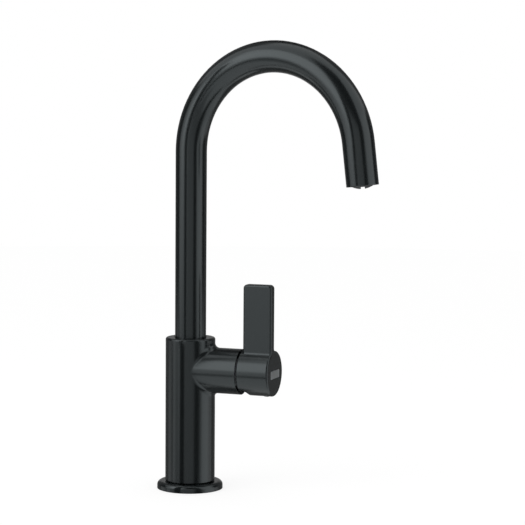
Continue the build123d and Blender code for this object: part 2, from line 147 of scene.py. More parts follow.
class FaucetFasteners(bpy.types.PropertyGroup):
    """Sizes of the screws, the plug, the tapped threads, the arm's cove and the bare plate"""

    lock_pitch: length("Lock screw pitch", "Thread pitch of the screw that keeps the spout in", 0.7 * MM)
    lock_key: length("Lock screw key", "Hexagon key of the lock screw, across its flats", 2.0 * MM)
    dog_radius: length("Dog radius", "Radius of the lock screw's plain tip", 1.1 * MM)
    dog_length: length("Dog length", "Length of the lock screw's plain tip", 1.18 * MM)
    set_pitch: length("Set screw pitch", "Thread pitch of the screw that holds the handle", 0.8 * MM)
    set_key: length("Set screw key", "Hexagon key of the set screw, across its flats", 2.5 * MM)
    plug_edge: length("Plug edge", "Round edge of the plug over the set screw", 0.22 * MM)
    plug_dish: length("Plug dish", "Depth of the dish in the plug", 0.25 * MM)
    hose_pitch: length("Hose pitch", "Thread pitch of the two hose inlets", 1.0 * MM)
    stud_pitch: length("Stud pitch", "Thread pitch of the stud hole", 1.25 * MM)
    cove_radius: length("Cove radius", "Radius of the hollow between the column and the arm", 4.6 * MM)
    plate_width: length("Plate width", "Width of the bare plate on the handle's end", 19.0 * MM)
    plate_height: length("Plate height", "Height of the bare plate", 6.4 * MM)
    plate_proud: length("Plate stand", "How far the plate stands out of the handle", 0.35 * MM)


class FaucetStage(bpy.types.PropertyGroup):
    """Camera, floor and light"""

    azimuth: turn("Camera azimuth", "Way round from the front towards the lever", 19.86)
    elevation: turn("Camera elevation", "Height of the view above level", 4.804)
    roll: turn("Camera roll", "Turn of the camera about its view", 0.419)
    distance: length("Camera distance", "Distance to the aimed point", 1.519869)
    aim_height: length("Aimed height", "Height of the aimed point on the column's axis", 0.190)
    focal: number("Focal length", "Focal length in picture pixels", 1895.349)
    aim_pixel: FloatVectorProperty(name="Aimed pixel", size=2, default=(190.902, 253.763),
                                   description="Where the aimed point falls in the picture")
    picture: IntProperty(name="Picture size", description="Side of the square picture",
                         default=525, subtype="PIXEL")
    floor_radius: length("Floor radius", "Radius of the round floor", 2.6)
    floor: colour("Floor", "Colour of the pale floor", (0.95, 0.95, 0.95))
    shadow: share("Shadow", "How much of the floor's own shading the camera sees", 0.28)
    floor_glow: number("Floor white", "Strength of the white that the camera sees", 1.10)
    ambient: number("Ambient light", "Strength of the even light all round", 0.75)


# The mean of a noise pattern
PATTERN_MEAN = 0.5

# A Mix node has sockets of one name for each kind of data, so its colours go by number
MIX_FIRST = 6
MIX_SECOND = 7
MIX_RESULT = 2


class Value:
    """One shader output that can be used in sums."""

    def __init__(self, finish, socket):
        self.finish = finish
        self.socket = socket

    def math(self, operation, *values):
        """The result of a Math node on some values."""
        inputs = dict(enumerate(values))
        return self.finish.node("ShaderNodeMath", {"operation": operation}, inputs)

    def __add__(self, other):
        return self.math("ADD", self, other)

    def __radd__(self, other):
        return self.math("ADD", other, self)

    def __sub__(self, other):
        return self.math("SUBTRACT", self, other)

    def __rsub__(self, other):
        return self.math("SUBTRACT", other, self)

    def __mul__(self, other):
        return self.math("MULTIPLY", self, other)

    def __rmul__(self, other):
        return self.math("MULTIPLY", other, self)

    def larger(self, other):
        """The larger of two values."""
        return self.math("MAXIMUM", self, other)

    def swing(self, amount):
        """A pattern that swings about nought, as far as the amount from end to end."""
        return amount * (self - PATTERN_MEAN)


class Finish:
    """Builds the node tree of one material or of the world."""

    def __init__(self, owner):
        owner.use_nodes = True
        self.owner = owner
        self.tree = owner.node_tree
        self.tree.nodes.clear()

    def node(self, kind, settings=None, inputs=None, output=0):
        """Adds a node with its settings and its sockets' values or links, and gives one output."""
        made = self.tree.nodes.new(kind)
        for key, value in (settings or {}).items():
            setattr(made, key, value)
        for key, value in (inputs or {}).items():
            if isinstance(value, Value):
                self.tree.links.new(value.socket, made.inputs[key])
            else:
                made.inputs[key].default_value = value
        return None if output is None else Value(self, made.outputs[output])

    def place(self):
        """The point on the piece, in the faucet's own frame."""
        return self.node("ShaderNodeTexCoord", output="Object")

    def noise(self, size, detail=2.0):
        """A soft random pattern whose blots are about size metres."""
        inputs = {"Vector": self.place(), "Scale": 1.0 / size, "Detail": detail}
        return self.node("ShaderNodeTexNoise", None, inputs)

    def rings(self, axis, size, detail=3.0):
        """Fine random lines round an axis, as a lathe tool leaves them."""
        along = self.node("ShaderNodeVectorMath", {"operation": "DOT_PRODUCT"},
                          {0: self.place(), 1: axis}, "Value")
        return self.node("ShaderNodeTexNoise", {"noise_dimensions": "1D"},
                         {"W": along, "Scale": 1.0 / size, "Detail": detail})

    def mottle(self, factor, tint, dark, light):
        """A colour that a pattern makes darker and lighter."""
        first = (*shade(tint, dark), 1.0)
        second = (*shade(tint, light), 1.0)
        inputs = {"Factor": factor, MIX_FIRST: first, MIX_SECOND: second}
        return self.node("ShaderNodeMix", {"data_type": "RGBA"}, inputs, MIX_RESULT)

    def bump(self, height, strength, distance):
        """A relief from a height pattern."""
        inputs = {"Strength": strength, "Distance": distance, "Height": height}
        return self.node("ShaderNodeBump", None, inputs)

    def close(self, **sockets):
        """Ends a material in one principled surface and returns the material."""
        inputs = {key.replace("_", " "): value for key, value in sockets.items()}
        surface = self.node("ShaderNodeBsdfPrincipled", None, inputs)
        self.output(surface)
        return self.owner

    def output(self, surface, kind="ShaderNodeOutputMaterial"):
        """Ends the tree in its output node."""
        self.node(kind, None, {"Surface": surface}, None)


def new_finish(name):
    """An empty material to build a finish in."""
    return Finish(bpy.data.materials.new(name))


def shade(tint, factor):
    """A colour made darker or lighter."""
    return tuple(min(1.0, channel * factor) for channel in tint)


def paint(material, *nodes):
    """Puts a material on CAD nodes."""
    for node in nodes:
        frame["nodes"][node].material_slots[0].material = material


def coating_finish(look):
    """Satin black coating: a fine sprayed grain and slow changes of sheen."""
    finish = new_finish(COATING)
    grain = finish.noise(look.coating_grain)
    sheen = finish.noise(24 * MM, detail=3.0)
    tint = finish.mottle(0.6 * grain + 0.4 * sheen, look.coating, dark=0.7, light=1.3)
    rough = look.coating_roughness + sheen.swing(0.06) + grain.swing(0.05)
    return finish.close(Base_Color=tint, Roughness=rough, Specular_IOR_Level=look.coating_gloss,
                        Specular_Tint=(*look.coating_sheen, 1.0),
                        Normal=finish.bump(grain, strength=0.05, distance=0.05 * MM))


def moulded_finish(name, tint, roughness, grain_size):
    """Moulded plastic: an even spark-eroded grain and faint flow marks."""
    finish = new_finish(name)
    grain = finish.noise(grain_size)
    flow = finish.noise(9 * MM, detail=4.0)
    body = finish.mottle(0.5 * grain + 0.5 * flow, tint, dark=0.85, light=1.15)
    rough = roughness + grain.swing(0.12) + flow.swing(0.08)
    return finish.close(Base_Color=body, Roughness=rough,
                        Normal=finish.bump(grain, strength=0.15, distance=0.05 * MM))


def rubber_finish(look):
    """Matt rubber with a pale bloom in patches."""
    finish = new_finish("seal_rubber")
    bloom = finish.noise(4 * MM, detail=5.0)
    grain = finish.noise(0.3 * MM)
    body = finish.mottle(bloom, look.rubber, dark=0.7, light=1.5)
    rough = 0.68 + 0.2 * bloom
    return finish.close(Base_Color=body, Roughness=rough,
                        Normal=finish.bump(grain, strength=0.2, distance=0.05 * MM))


def ceramic_finish(look):
    """Lapped alumina: nearly white, with fine grey specks and a low gloss."""
    finish = new_finish("lapped_ceramic")
    speck = finish.noise(0.25 * MM, detail=3.0)
    lapping = finish.noise(5 * MM)
    body = finish.mottle(speck, look.ceramic, dark=0.93, light=1.05)
    rough = 0.16 + 0.12 * lapping
    return finish.close(Base_Color=body, Roughness=rough,
                        Normal=finish.bump(speck, strength=0.03, distance=0.02 * MM))


def turned_finish(name, tint, axis, roughness):
    """Turned metal: lathe lines round one axis under slow stains."""
    finish = new_finish(name)
    lines = finish.rings(axis, 0.12 * MM)
    stain = finish.noise(6 * MM, detail=4.0)
    body = finish.mottle(0.5 * lines + 0.5 * stain, tint, dark=0.8, light=1.15)
    rough = roughness + lines.swing(0.14) + stain.swing(0.12)
    return finish.close(Base_Color=body, Metallic=1.0, Roughness=rough,
                        Normal=finish.bump(lines, strength=0.15, distance=0.02 * MM))


class FAUCET_OT_coating(bpy.types.Operator):
    """Coats the column, the flange, the spout and the lever in satin black"""

    bl_idname = "faucet.coating"
    bl_label = "Black coating"

    def execute(self, context):
        paint(coating_finish(context.scene.faucet_finishes), *COATED)
        return {"FINISHED"}


class FAUCET_OT_seals(bpy.types.Operator):
    """Gives the gasket, the O-rings, the washer and the port seals their rubber"""

    bl_idname = "faucet.seals"
    bl_label = "Rubber seals"

    def execute(self, context):
        paint(rubber_finish(context.scene.faucet_finishes), *RUBBER)
        return {"FINISHED"}


class FAUCET_OT_plastics(bpy.types.Operator):
    """Gives the cartridge, the aerator and the glide ring their plastics"""

    bl_idname = "faucet.plastics"
    bl_label = "Plastics"

    def execute(self, context):
        look = context.scene.faucet_finishes
        cartridge = moulded_finish("cartridge_plastic", look.cartridge, roughness=0.46, grain_size=0.35 * MM)
        aerator = moulded_finish("aerator_plastic", look.aerator, roughness=0.38, grain_size=0.3 * MM)
        acetal = moulded_finish("glide_acetal", look.acetal, roughness=0.34, grain_size=0.2 * MM)
        paint(cartridge, *CARTRIDGE_PLASTIC)
        paint(aerator, *AERATOR_PLASTIC)
        paint(acetal, "glide_ring")
        return {"FINISHED"}


class FAUCET_OT_ceramics(bpy.types.Operator):
    """Gives the two valve discs their ceramic"""

    bl_idname = "faucet.ceramics"
    bl_label = "Ceramic discs"

    def execute(self, context):
        paint(ceramic_finish(context.scene.faucet_finishes), *CERAMIC)
        return {"FINISHED"}


class FAUCET_OT_metals(bpy.types.Operator):
    """Gives the brasswork, the near-black nut and the steel pin their turned finish; the nut's near-black is
    partly its own colour and partly painted shade in the seam between arm and hub
    """

    bl_idname = "faucet.metals"
    bl_label = "Turned metals"

    def execute(self, context):
        look = context.scene.faucet_finishes
        for node, axis in BRASSWORK.items():
            paint(turned_finish(f"{node}_brass", look.brass, axis, roughness=0.3), node)
        # Near-black metal on the nut: partly its own colour, partly painted shade in the seam between the
        # arm and the hub
        paint(turned_finish("black_nut_and_seam_shade", look.black_and_seam_shade, ALONG_ARM, roughness=0.5), "cartridge_nut")
        paint(turned_finish("stem_pin_steel", look.steel, ACROSS_ARM, roughness=0.26), "stem_pin")
        return {"FINISHED"}


def clear_selection():
    """Deselects everything, because an operator acts on all that is selected."""
    bpy.ops.object.select_all(action="DESELECT")


def make_active(piece):
    """Selects one piece alone and makes it the active one."""
    clear_selection()
    piece.select_set(True)
    bpy.context.view_layer.objects.active = piece


def take_added(scale=(1.0, 1.0, 1.0)):
    """The primitive added last, with its scale, turn and place put into its mesh."""
    piece = bpy.context.object
    piece.scale = scale
    bpy.ops.object.transform_apply()
    return piece


def open_edit(piece):
    """Opens a piece in edit mode with all of it selected."""
    make_active(piece)
    bpy.ops.object.mode_set(mode="EDIT")
    bpy.ops.mesh.select_mode(type="VERT")
    bpy.ops.mesh.select_all(action="SELECT")


def close_edit():
    """Goes back to object mode."""
    bpy.ops.object.mode_set(mode="OBJECT")


def close_outward():
    """Turns all faces of the edited piece outwards and goes back to object mode."""
    bpy.ops.mesh.select_all(action="SELECT")
    bpy.ops.mesh.normals_make_consistent(inside=False)
    close_edit()


def select_where(piece, kind, test):
    """In edit mode, selects only the faces or edges that a test picks."""
    bpy.ops.mesh.select_mode(type=kind)
    bpy.ops.mesh.select_all(action="DESELECT")
    shape = bmesh.from_edit_mesh(piece.data)
    parts = shape.faces if kind == "FACE" else shape.edges
    chosen = [part for part in parts if test(part)]
    if not chosen:
        raise RuntimeError(f"{piece.name} has nothing to select there")
    for part in chosen:
        part.select_set(True)
    bmesh.update_edit_mesh(piece.data)


def at_height(height):
    """A test for edges that lie at one height."""
    return lambda edge: all(abs(point.co.z - height) < SAME_HEIGHT for point in edge.verts)


def apply_modifier(piece, kind, **settings):
    """Adds a modifier with its settings and applies it."""
    make_active(piece)
    modifier = piece.modifiers.new(kind.lower(), kind)
    for key, value in settings.items():
        setattr(modifier, key, value)
    bpy.ops.object.modifier_apply(modifier=modifier.name)


def combine(piece, tool, operation):
    """Joins, cuts or crosses a piece with a tool body, which is then used up."""
    apply_modifier(piece, "BOOLEAN", operation=operation, solver="EXACT", object=tool)
    bpy.data.meshes.remove(tool.data)
    if len(piece.data.polygons) < FEWEST_FACES:
        raise RuntimeError(f"{piece.name} was lost while it was cut")


def plain_bar(sides, radius, foot, top):
    """A bar on the Z axis with flat ends."""
    clear_selection()
    bpy.ops.mesh.primitive_cylinder_add(vertices=sides, radius=radius, depth=top - foot,
                                        location=(0, 0, (foot + top) / 2))
    return take_added()


def bevelled_bar(radius, foot, top, bevel):
    """A round bar on the Z axis with bevelled ends."""
    bar = plain_bar(BAR_SIDES, radius, foot, top)
    open_edit(bar)
    select_where(bar, "EDGE", lambda edge: at_height(foot)(edge) or at_height(top)(edge))
    bpy.ops.mesh.bevel(offset=bevel, segments=BEVEL_STEPS, affect="EDGES")
    close_edit()
    return bar


# A key's socket, as shares of the key's width: its drill point and its countersunk mouth
KEY_POINT = 0.2
KEY_MOUTH = 0.62


def hexagon_tool(key, floor, top):
    """A hexagon bar with a drill point, which cuts a key's socket."""
    tool = plain_bar(6, key / sqrt(3), floor, top)
    open_edit(tool)
    select_where(tool, "FACE", lambda face: face.normal.z < -FLAT)
    bpy.ops.mesh.extrude_region_move(TRANSFORM_OT_translate={"value": (0, 0, -KEY_POINT * key)})
    bpy.ops.mesh.merge(type="CENTER")
    close_edit()
    return tool


def countersink_tool(radius, top):
    """A cone that breaks the edge of a socket at its mouth."""
    clear_selection()
    bpy.ops.mesh.primitive_cone_add(vertices=BAR_SIDES, radius1=0.0, radius2=2 * radius, depth=2 * radius,
                                    location=(0, 0, top))
    return take_added()


def trim(height, **side):
    """Cuts what is edited at one height, closes the cut and clears one side."""
    bpy.ops.mesh.select_all(action="SELECT")
    bpy.ops.mesh.bisect(plane_co=(0, 0, height), plane_no=(0, 0, 1), use_fill=True,
                        threshold=CUT_THRESHOLD, **side)


def wind(profile, pitch, turns):
    """Winds a profile up the Z axis, as a thread runs."""
    apply_modifier(profile, "SCREW", axis="Z", screw_offset=pitch, iterations=turns,
                   steps=THREAD_STEPS, render_steps=THREAD_STEPS)


# Depth and end bevel of a screw's thread, as shares of its pitch
THREAD_DEPTH = 0.5
THREAD_BEVEL = 0.4

# Steps of the thread's profile, as shares of its depth outwards and of its pitch upwards
THREAD_PROFILE = ((0, 0.15), (1, 0.29), (0, 0.12), (-1, 0.29), (0, 0.15))

# Turns that are wound past each end of the thread before it is trimmed
SPARE_TURNS = 2


def threaded_shaft(radius, pitch, foot, top):
    """A screw thread on the Z axis, drawn as one profile and wound up the shaft."""
    clear_selection()
    depth = THREAD_DEPTH * pitch
    bpy.ops.mesh.primitive_plane_add(size=pitch)
    shaft = bpy.context.object
    open_edit(shaft)
    bpy.ops.mesh.merge(type="CENTER")
    bpy.ops.transform.translate(value=(radius - depth, 0, foot - SPARE_TURNS * pitch))
    for out, up in THREAD_PROFILE:
        step = (out * depth, 0, up * pitch)
        bpy.ops.mesh.extrude_vertices_move(TRANSFORM_OT_translate={"value": step})
    close_edit()
    wind(shaft, pitch, ceil((top - foot) / pitch) + 2 * SPARE_TURNS)
    open_edit(shaft)
    bpy.ops.mesh.remove_doubles(threshold=MERGE_THREAD)
    trim(foot, clear_inner=True)
    trim(top, clear_outer=True)
    close_outward()
    return shaft


def grub_screw(radius, pitch, key, tall):
    """A headless screw on the Z axis with its point at nought and its key's socket at the top."""
    screw = threaded_shaft(radius, pitch, -pitch, tall + pitch)
    combine(screw, bevelled_bar(radius, 0.0, tall, THREAD_BEVEL * pitch), "INTERSECT")
    combine(screw, hexagon_tool(key, tall - key, tall + pitch), "DIFFERENCE")
    combine(screw, countersink_tool(KEY_MOUTH * key, tall), "DIFFERENCE")
    return screw


def facing(direction):
    """The turn that brings the Z axis to a direction."""
    return direction.to_track_quat("Z", "Y").to_matrix().to_4x4()


def put_in_place(piece, place, direction):
    """Moves a piece that was made on the Z axis, and turns that axis to the direction."""
    make_active(piece)
    piece.matrix_world = Matrix.Translation(place) @ facing(direction)
    bpy.ops.object.transform_apply()


def finish_piece(piece, name, material, body, place=None, direction=None, replaced=None):
    """Puts a piece in its place, unless it was made there, and ties it to its body."""
    make_active(piece)
    if direction is not None:
        put_in_place(piece, place, direction)
    bpy.ops.object.shade_smooth_by_angle(angle=SMOOTH_ANGLE)
    piece.name = piece.data.name = name
    piece.data.materials.clear()
    piece.data.materials.append(material)
    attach(piece, body)
    if replaced:
        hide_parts(replaced)


def box_of(node):
    """A node's middle and half sizes at rest."""
    low, high = (Vector(corner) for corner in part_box(node))
    return (low + high) / 2, (high - low) / 2


# The lock screw's plain tip: the share of the screw that it runs up inside, and its bevel
DOG_ROOT = 0.2
DOG_BEVEL = 0.2 * MM


class FAUCET_OT_lock_screw(bpy.types.Operator):
    """Models the dog-point screw at the column's back, which keeps the spout in"""

    bl_idname = "faucet.lock_screw"
    bl_label = "Lock screw"

    def execute(self, context):
        sizes = context.scene.faucet_fasteners
        middle, half = box_of("spout_lock_screw")
        tall = 2 * half.x - sizes.dog_length
        screw = grub_screw(half.y, sizes.lock_pitch, sizes.lock_key, tall)
        dog = bevelled_bar(sizes.dog_radius, -sizes.dog_length, DOG_ROOT * tall, DOG_BEVEL)
        combine(screw, dog, "UNION")
        look = context.scene.faucet_finishes
        steel = turned_finish("lock_screw_steel", look.steel, ALONG_ARM, roughness=0.3)
        point = middle + Vector((half.x - sizes.dog_length, 0, 0))
        finish_piece(screw, "lock_screw", steel, "column", point, Vector((-1, 0, 0)),
                     "spout_lock_screw")
        return {"FINISHED"}


class FAUCET_OT_set_screw(bpy.types.Operator):
    """Models the set screw that holds the handle on its stem"""

    bl_idname = "faucet.set_screw"
    bl_label = "Set screw"

    def execute(self, context):
        sizes = context.scene.faucet_fasteners
        middle, half = box_of("lever_set_screw")
        screw = grub_screw(half.x, sizes.set_pitch, sizes.set_key, 2 * half.z)
        look = context.scene.faucet_finishes
        steel = turned_finish("set_screw_steel", look.steel, UPRIGHT, roughness=0.3)
        point = middle + Vector((0, 0, half.z))
        finish_piece(screw, "set_screw", steel, "lever", point, Vector((0, 0, -1)),
                     "lever_set_screw")
        return {"FINISHED"}


# Length of the hub that shapes the plug, start of its rim and width of its flat, as shares of its radius
PLUG_HUB = 8
PLUG_RIM = 0.98
PLUG_FLAT = 0.35

# How much longer the plug starts than the hub leaves it, and the steps of its round edge
PLUG_SPARE = 1.0 * MM
PLUG_EDGE_STEPS = 3


class FAUCET_OT_screw_plug(bpy.types.Operator):
    """Models the dished plug that covers the set screw, flush with the round hub"""

    bl_idname = "faucet.screw_plug"
    bl_label = "Screw plug"

    def execute(self, context):
        sizes = context.scene.faucet_fasteners
        middle, half = box_of("lever_screw_plug")
        hub = box_of("lever_handle")[1].y
        axis = middle.z - half.z + hub
        plug = bevelled_bar(half.x, middle.z - half.z - PLUG_SPARE, middle.z + half.z, sizes.plug_edge)
        clear_selection()
        bpy.ops.mesh.primitive_cylinder_add(vertices=HUB_SIDES, radius=hub, depth=PLUG_HUB * half.x,
                                            location=(0, 0, axis), rotation=(0, pi / 2, 0))
        combine(plug, take_added(), "INTERSECT")

        def on_hub(part):
            return all(abs(hypot(point.co.y, point.co.z - axis) - hub) < SAME_HUB for point in part.verts)

        def on_rim(edge):
            return on_hub(edge) and all(hypot(*point.co.xy) > PLUG_RIM * half.x for point in edge.verts)

        open_edit(plug)
        bpy.ops.mesh.remove_doubles(threshold=MERGE_PLUG)
        select_where(plug, "EDGE", on_rim)
        bpy.ops.mesh.bevel(offset=sizes.plug_edge, segments=PLUG_EDGE_STEPS, affect="EDGES",
                           clamp_overlap=True)
        select_where(plug, "FACE", on_hub)
        bpy.ops.mesh.inset(thickness=PLUG_FLAT * half.x, depth=-sizes.plug_dish)
        close_edit()
        look = context.scene.faucet_finishes
        plastic = moulded_finish("plug_plastic", look.aerator, roughness=0.4, grain_size=0.3 * MM)
        place = Vector((middle.x, middle.y, 0))
        finish_piece(plug, "screw_plug", plastic, "lever", place, Vector((0, 0, 1)),
                     "lever_screw_plug")
        return {"FINISHED"}


# Nominal depth of a tapped thread and height of its foot, as shares of its pitch
TAP_DEPTH = 0.24
TAP_FOOT = 0.8

# Thickness of its ridge, a little of it in the wall, as a share of its depth, and crest, of its foot
TAP_THICKNESS = 1.3
TAP_CREST = 0.3

# Turns left bare at each end of a tapped hole
BARE_TURNS = 1


def tapped_thread(radius, pitch, tall):
    """The ridge of a tapped thread that stands in a round hole on the Z axis."""
    depth = TAP_DEPTH * pitch
    middle = radius - depth / 2
    start = BARE_TURNS * pitch
    clear_selection()
    bpy.ops.mesh.primitive_plane_add(size=1.0, rotation=(pi / 2, 0, 0), location=(middle, 0, start))
    ridge = take_added(scale=(TAP_THICKNESS * depth, TAP_FOOT * pitch, 1.0))
    open_edit(ridge)
    select_where(ridge, "EDGE", lambda edge: all(point.co.x < middle for point in edge.verts))
    bpy.ops.transform.resize(value=(1, 1, TAP_CREST), center_override=(radius, 0, start))
    close_edit()
    wind(ridge, pitch, int(tall / pitch) - 2 * BARE_TURNS)
    open_edit(ridge)
    bpy.ops.mesh.fill_holes(sides=4)
    close_outward()
    return ridge


def copy_of(piece):
    """A copy of a piece with a mesh of its own."""
    copied = piece.copy()
    copied.data = piece.data.copy()
    bpy.context.collection.objects.link(copied)
    return copied


class FAUCET_OT_tapped_threads(bpy.types.Operator):
    """Models the tapped threads of the two hose inlets and the stud hole"""

    bl_idname = "faucet.tapped_threads"
    bl_label = "Tapped threads"

    def execute(self, context):
        sizes = context.scene.faucet_fasteners
        holes = {mount["name"]: mount for mount in frame["record"]["mounts"]}
        pitches = {"cold_inlet": sizes.hose_pitch, "stud_hole": sizes.stud_pitch}
        brass = turned_finish("tapped_brass", context.scene.faucet_finishes.brass, UPRIGHT, roughness=0.34)
        ridges = {}
        for name, pitch in pitches.items():
            hole = holes[name]["dims"]
            ridges[name] = tapped_thread(hole["r_mm"] * MM, pitch, hole["length_mm"] * MM)
        ridges["hot_inlet"] = copy_of(ridges["cold_inlet"])
        for name, ridge in ridges.items():
            place = Vector(holes[name]["pos_m"])
            finish_piece(ridge, f"{name}_thread", brass, "column", place, Vector((0, 0, 1)))
        return {"FINISHED"}


# How far the cove's edges stand off the column and the arm, and how deep its root lies in them
COVE_LIFT = 0.02 * MM
COVE_ROOT = 1.0 * MM


def cove_section(column, arm, height, radius, angle):
    """One cut across the cove: the hollow arc from the column to the arm, and a root inside both."""
    across = (arm + radius) * cos(angle)
    reach = column + radius
    centre = Vector((sqrt(reach ** 2 - across ** 2), across, height + (arm + radius) * sin(angle)))
    on_column = Vector((centre.x * column / reach, centre.y * column / reach, centre.z))
    on_arm = Vector((centre.x, arm * cos(angle), height + arm * sin(angle)))
    first = on_column - centre
    last = on_arm - centre
    shares = [(1 - cos(pi * step / COVE_STEPS)) / 2 for step in range(COVE_STEPS + 1)]
    arc = [centre + radius * first.slerp(last, part) for part in shares]
    middle = (first + last).normalized()
    root = centre + middle * (radius / cos(first.angle(last) / 2) + COVE_ROOT)
    return [*arc, root]


class FAUCET_OT_arm_cove(bpy.types.Operator):
    """Models the hollow cove that leads the column into the valve arm"""

    bl_idname = "faucet.arm_cove"
    bl_label = "Arm cove"

    def execute(self, context):
        hub = box_of("lever_handle")[1].y
        arm = hub + COVE_LIFT
        column = box_of("column_body")[1].y + COVE_LIFT
        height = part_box("lever_handle")[0][2] + hub
        radius = context.scene.faucet_fasteners.cove_radius
        shape = bmesh.new()
        rings = []
        for index in range(COVE_CUTS):
            section = cove_section(column, arm, height, radius, 2 * pi * index / COVE_CUTS)
            rings.append([shape.verts.new(point) for point in section])
        for near, far in zip(rings, rings[1:] + rings[:1]):
            for a, b, c, d in zip(near, near[1:] + near[:1], far[1:] + far[:1], far):
                shape.faces.new((a, b, c, d))
        bmesh.ops.recalc_face_normals(shape, faces=shape.faces)
        mesh = bpy.data.meshes.new("arm_cove")
        shape.to_mesh(mesh)
        shape.free()
        cove = bpy.data.objects.new("arm_cove", mesh)
        context.collection.objects.link(cove)
        finish_piece(cove, "arm_cove", bpy.data.materials[COATING], "column")
        return {"FINISHED"}


# The plate's round corners, broken edge and rim, the step inside the rim and how deep that goes
PLATE_CORNER = 0.9 * MM
PLATE_CORNER_STEPS = 4
PLATE_EDGE = 0.12 * MM
PLATE_RIM = 0.5 * MM
PLATE_STEP = 0.08 * MM
PLATE_RECESS = 0.15 * MM

# Height of the plate's middle above the deck, in metres
PLATE_LEVEL = 0.0965


class FAUCET_OT_end_plate(bpy.types.Operator):
    """Models the small bare plate let into the handle's end"""

    bl_idname = "faucet.end_plate"
    bl_label = "End plate"

    def execute(self, context):
        sizes = context.scene.faucet_fasteners
        wide, tall, proud = sizes.plate_width, sizes.plate_height, sizes.plate_proud
        clear_selection()
        bpy.ops.mesh.primitive_cube_add(size=1.0, location=(0, 0, 0))
        plate = take_added(scale=(wide, tall, 2 * proud))
        open_edit(plate)
        select_where(plate, "EDGE", lambda edge: abs(edge.verts[0].co.z - edge.verts[1].co.z) > proud)
        bpy.ops.mesh.bevel(offset=PLATE_CORNER, segments=PLATE_CORNER_STEPS, affect="EDGES")
        select_where(plate, "EDGE", at_height(proud))
        bpy.ops.mesh.bevel(offset=PLATE_EDGE, segments=BEVEL_STEPS, affect="EDGES")
        select_where(plate, "FACE", lambda face: face.normal.z > FLAT)
        bpy.ops.mesh.inset(thickness=PLATE_RIM)
        bpy.ops.mesh.inset(thickness=PLATE_STEP, depth=-PLATE_RECESS)
        close_edit()
        look = context.scene.faucet_finishes
        brushed = turned_finish("brushed_plate", look.plate, UPRIGHT, roughness=0.42)
        middle, half = box_of("lever_handle")
        place = Vector((middle.x + half.x, 0, PLATE_LEVEL))
        finish_piece(plate, "end_plate", brushed, "lever", place, Vector((1, 0, 0)))
        return {"FINISHED"}


# The camera's sensor in millimetres, and how far the camera sees in metres
SENSOR = 36.0
FAR_CLIP = 20.0

# Height that the lamps aim at, in metres
LAMP_AIM = 0.15

# The strips' way round from the camera in degrees, and their grey level
STRIP_WAY = -35.0
STRIP_LEVEL = 0.01

# Softboxes as (name, way round from the camera, height angle, distance, width, height, radiance)
SOFTBOXES = (
    ("left_softbox", -68.0, 18.0, 1.0, 0.42, 0.62, 0.25),
    ("right_softbox", 69.0, 4.0, 1.0, 0.72, 1.10, 0.22),
    ("key_softbox", -50.0, 28.0, 1.1, 0.90, 0.90, 1.10),
)

# Grey cards as (name, way round from the camera, half angle, distance, foot, top, grey level)
CARDS = (
    ("front_low_card", -3.5, 23.0, 1.6, -0.9, -0.09, 0.42),
    ("front_card", -3.5, 23.0, 1.6, -0.09, 0.78, 0.56),
    ("front_high_card", -3.5, 23.0, 1.6, 0.78, 4.5, 0.05),
    ("front_right_card", 30.5, 11.5, 1.0, -2.4, 0.7, 0.02),
    ("front_right_low_card", 45.5, 3.5, 1.0, -0.6, 0.03, 0.3),
    ("fade_right_low_card", 52.5, 3.5, 1.0, -0.6, 0.03, 0.7),
    ("side_left_low_card", -89.5, 4.5, 1.0, -0.25, 0.03, 0.12),
    ("edge_left_low_card", -106.0, 12.0, 1.0, -0.25, 0.03, 0.55),
    ("near_left_low_card", -78.0, 7.0, 1.0, -0.25, 0.03, 0.85),
    ("fade_left_low_card", -63.0, 8.0, 1.0, -0.25, 0.03, 0.45),
    ("side_left_card", -111.0, 18.0, 1.0, 0.03, 0.7, 0.04),
    ("side_right_low_card", 106.0, 8.0, 1.0, -0.6, 0.03, 0.62),
    ("side_right_card", 104.0, 13.0, 1.0, 0.03, 0.7, 0.03),
    ("back_left_card", -140.0, 22.0, 1.0, -2.2, 2.2, 0.14),
    ("back_right_card", 139.0, 23.0, 1.0, -2.2, 2.2, 0.14),
    ("back_low_card", 180.0, 20.0, 1.2, -2.2, -0.35, 0.14),
    ("back_card", 180.0, 20.0, 1.2, -0.35, 0.2, 0.5),
    ("back_high_card", 180.0, 20.0, 1.2, 0.2, 0.95, 0.25),
    ("back_top_card", 180.0, 20.0, 1.2, 0.95, 2.6, 0.05),
    ("low_card", -48.0, 30.0, 8.0, -2.7, -1.6, 0.06),
    ("high_right_card", 22.0, 16.0, 1.0, 0.7, 2.4, 0.03),
)

# Narrow black strips close to the faucet as (name, x, y, foot, top, width)
STRIPS = (
    ("column_strip", -0.00352, -0.03432, -0.03, 0.1176, 0.00903),
    ("riser_strip", -0.0170, -0.0588, 0.114, 0.36, 0.0185),
    ("tip_strip", 0.1300, -0.0860, 0.20, 0.34, 0.0175),
)


def seen_rays(finish):
    """One for the rays that show the background: the camera's, and those off gloss or through glass."""
    paths = [finish.node("ShaderNodeLightPath", output=name)
             for name in ("Is Camera Ray", "Is Glossy Ray", "Is Transmission Ray")]
    return paths[0].larger(paths[1]).larger(paths[2])


def outward(azimuth, elevation):
    """The direction that lies so far round from the front and so far up."""
    level = cos(elevation)
    return Vector((sin(azimuth) * level, -cos(azimuth) * level, sin(elevation)))


def from_camera(stage, way, height=0.0):
    """The direction that lies way degrees round from the camera and height degrees up."""
    return outward(stage.azimuth + radians(way), radians(height))


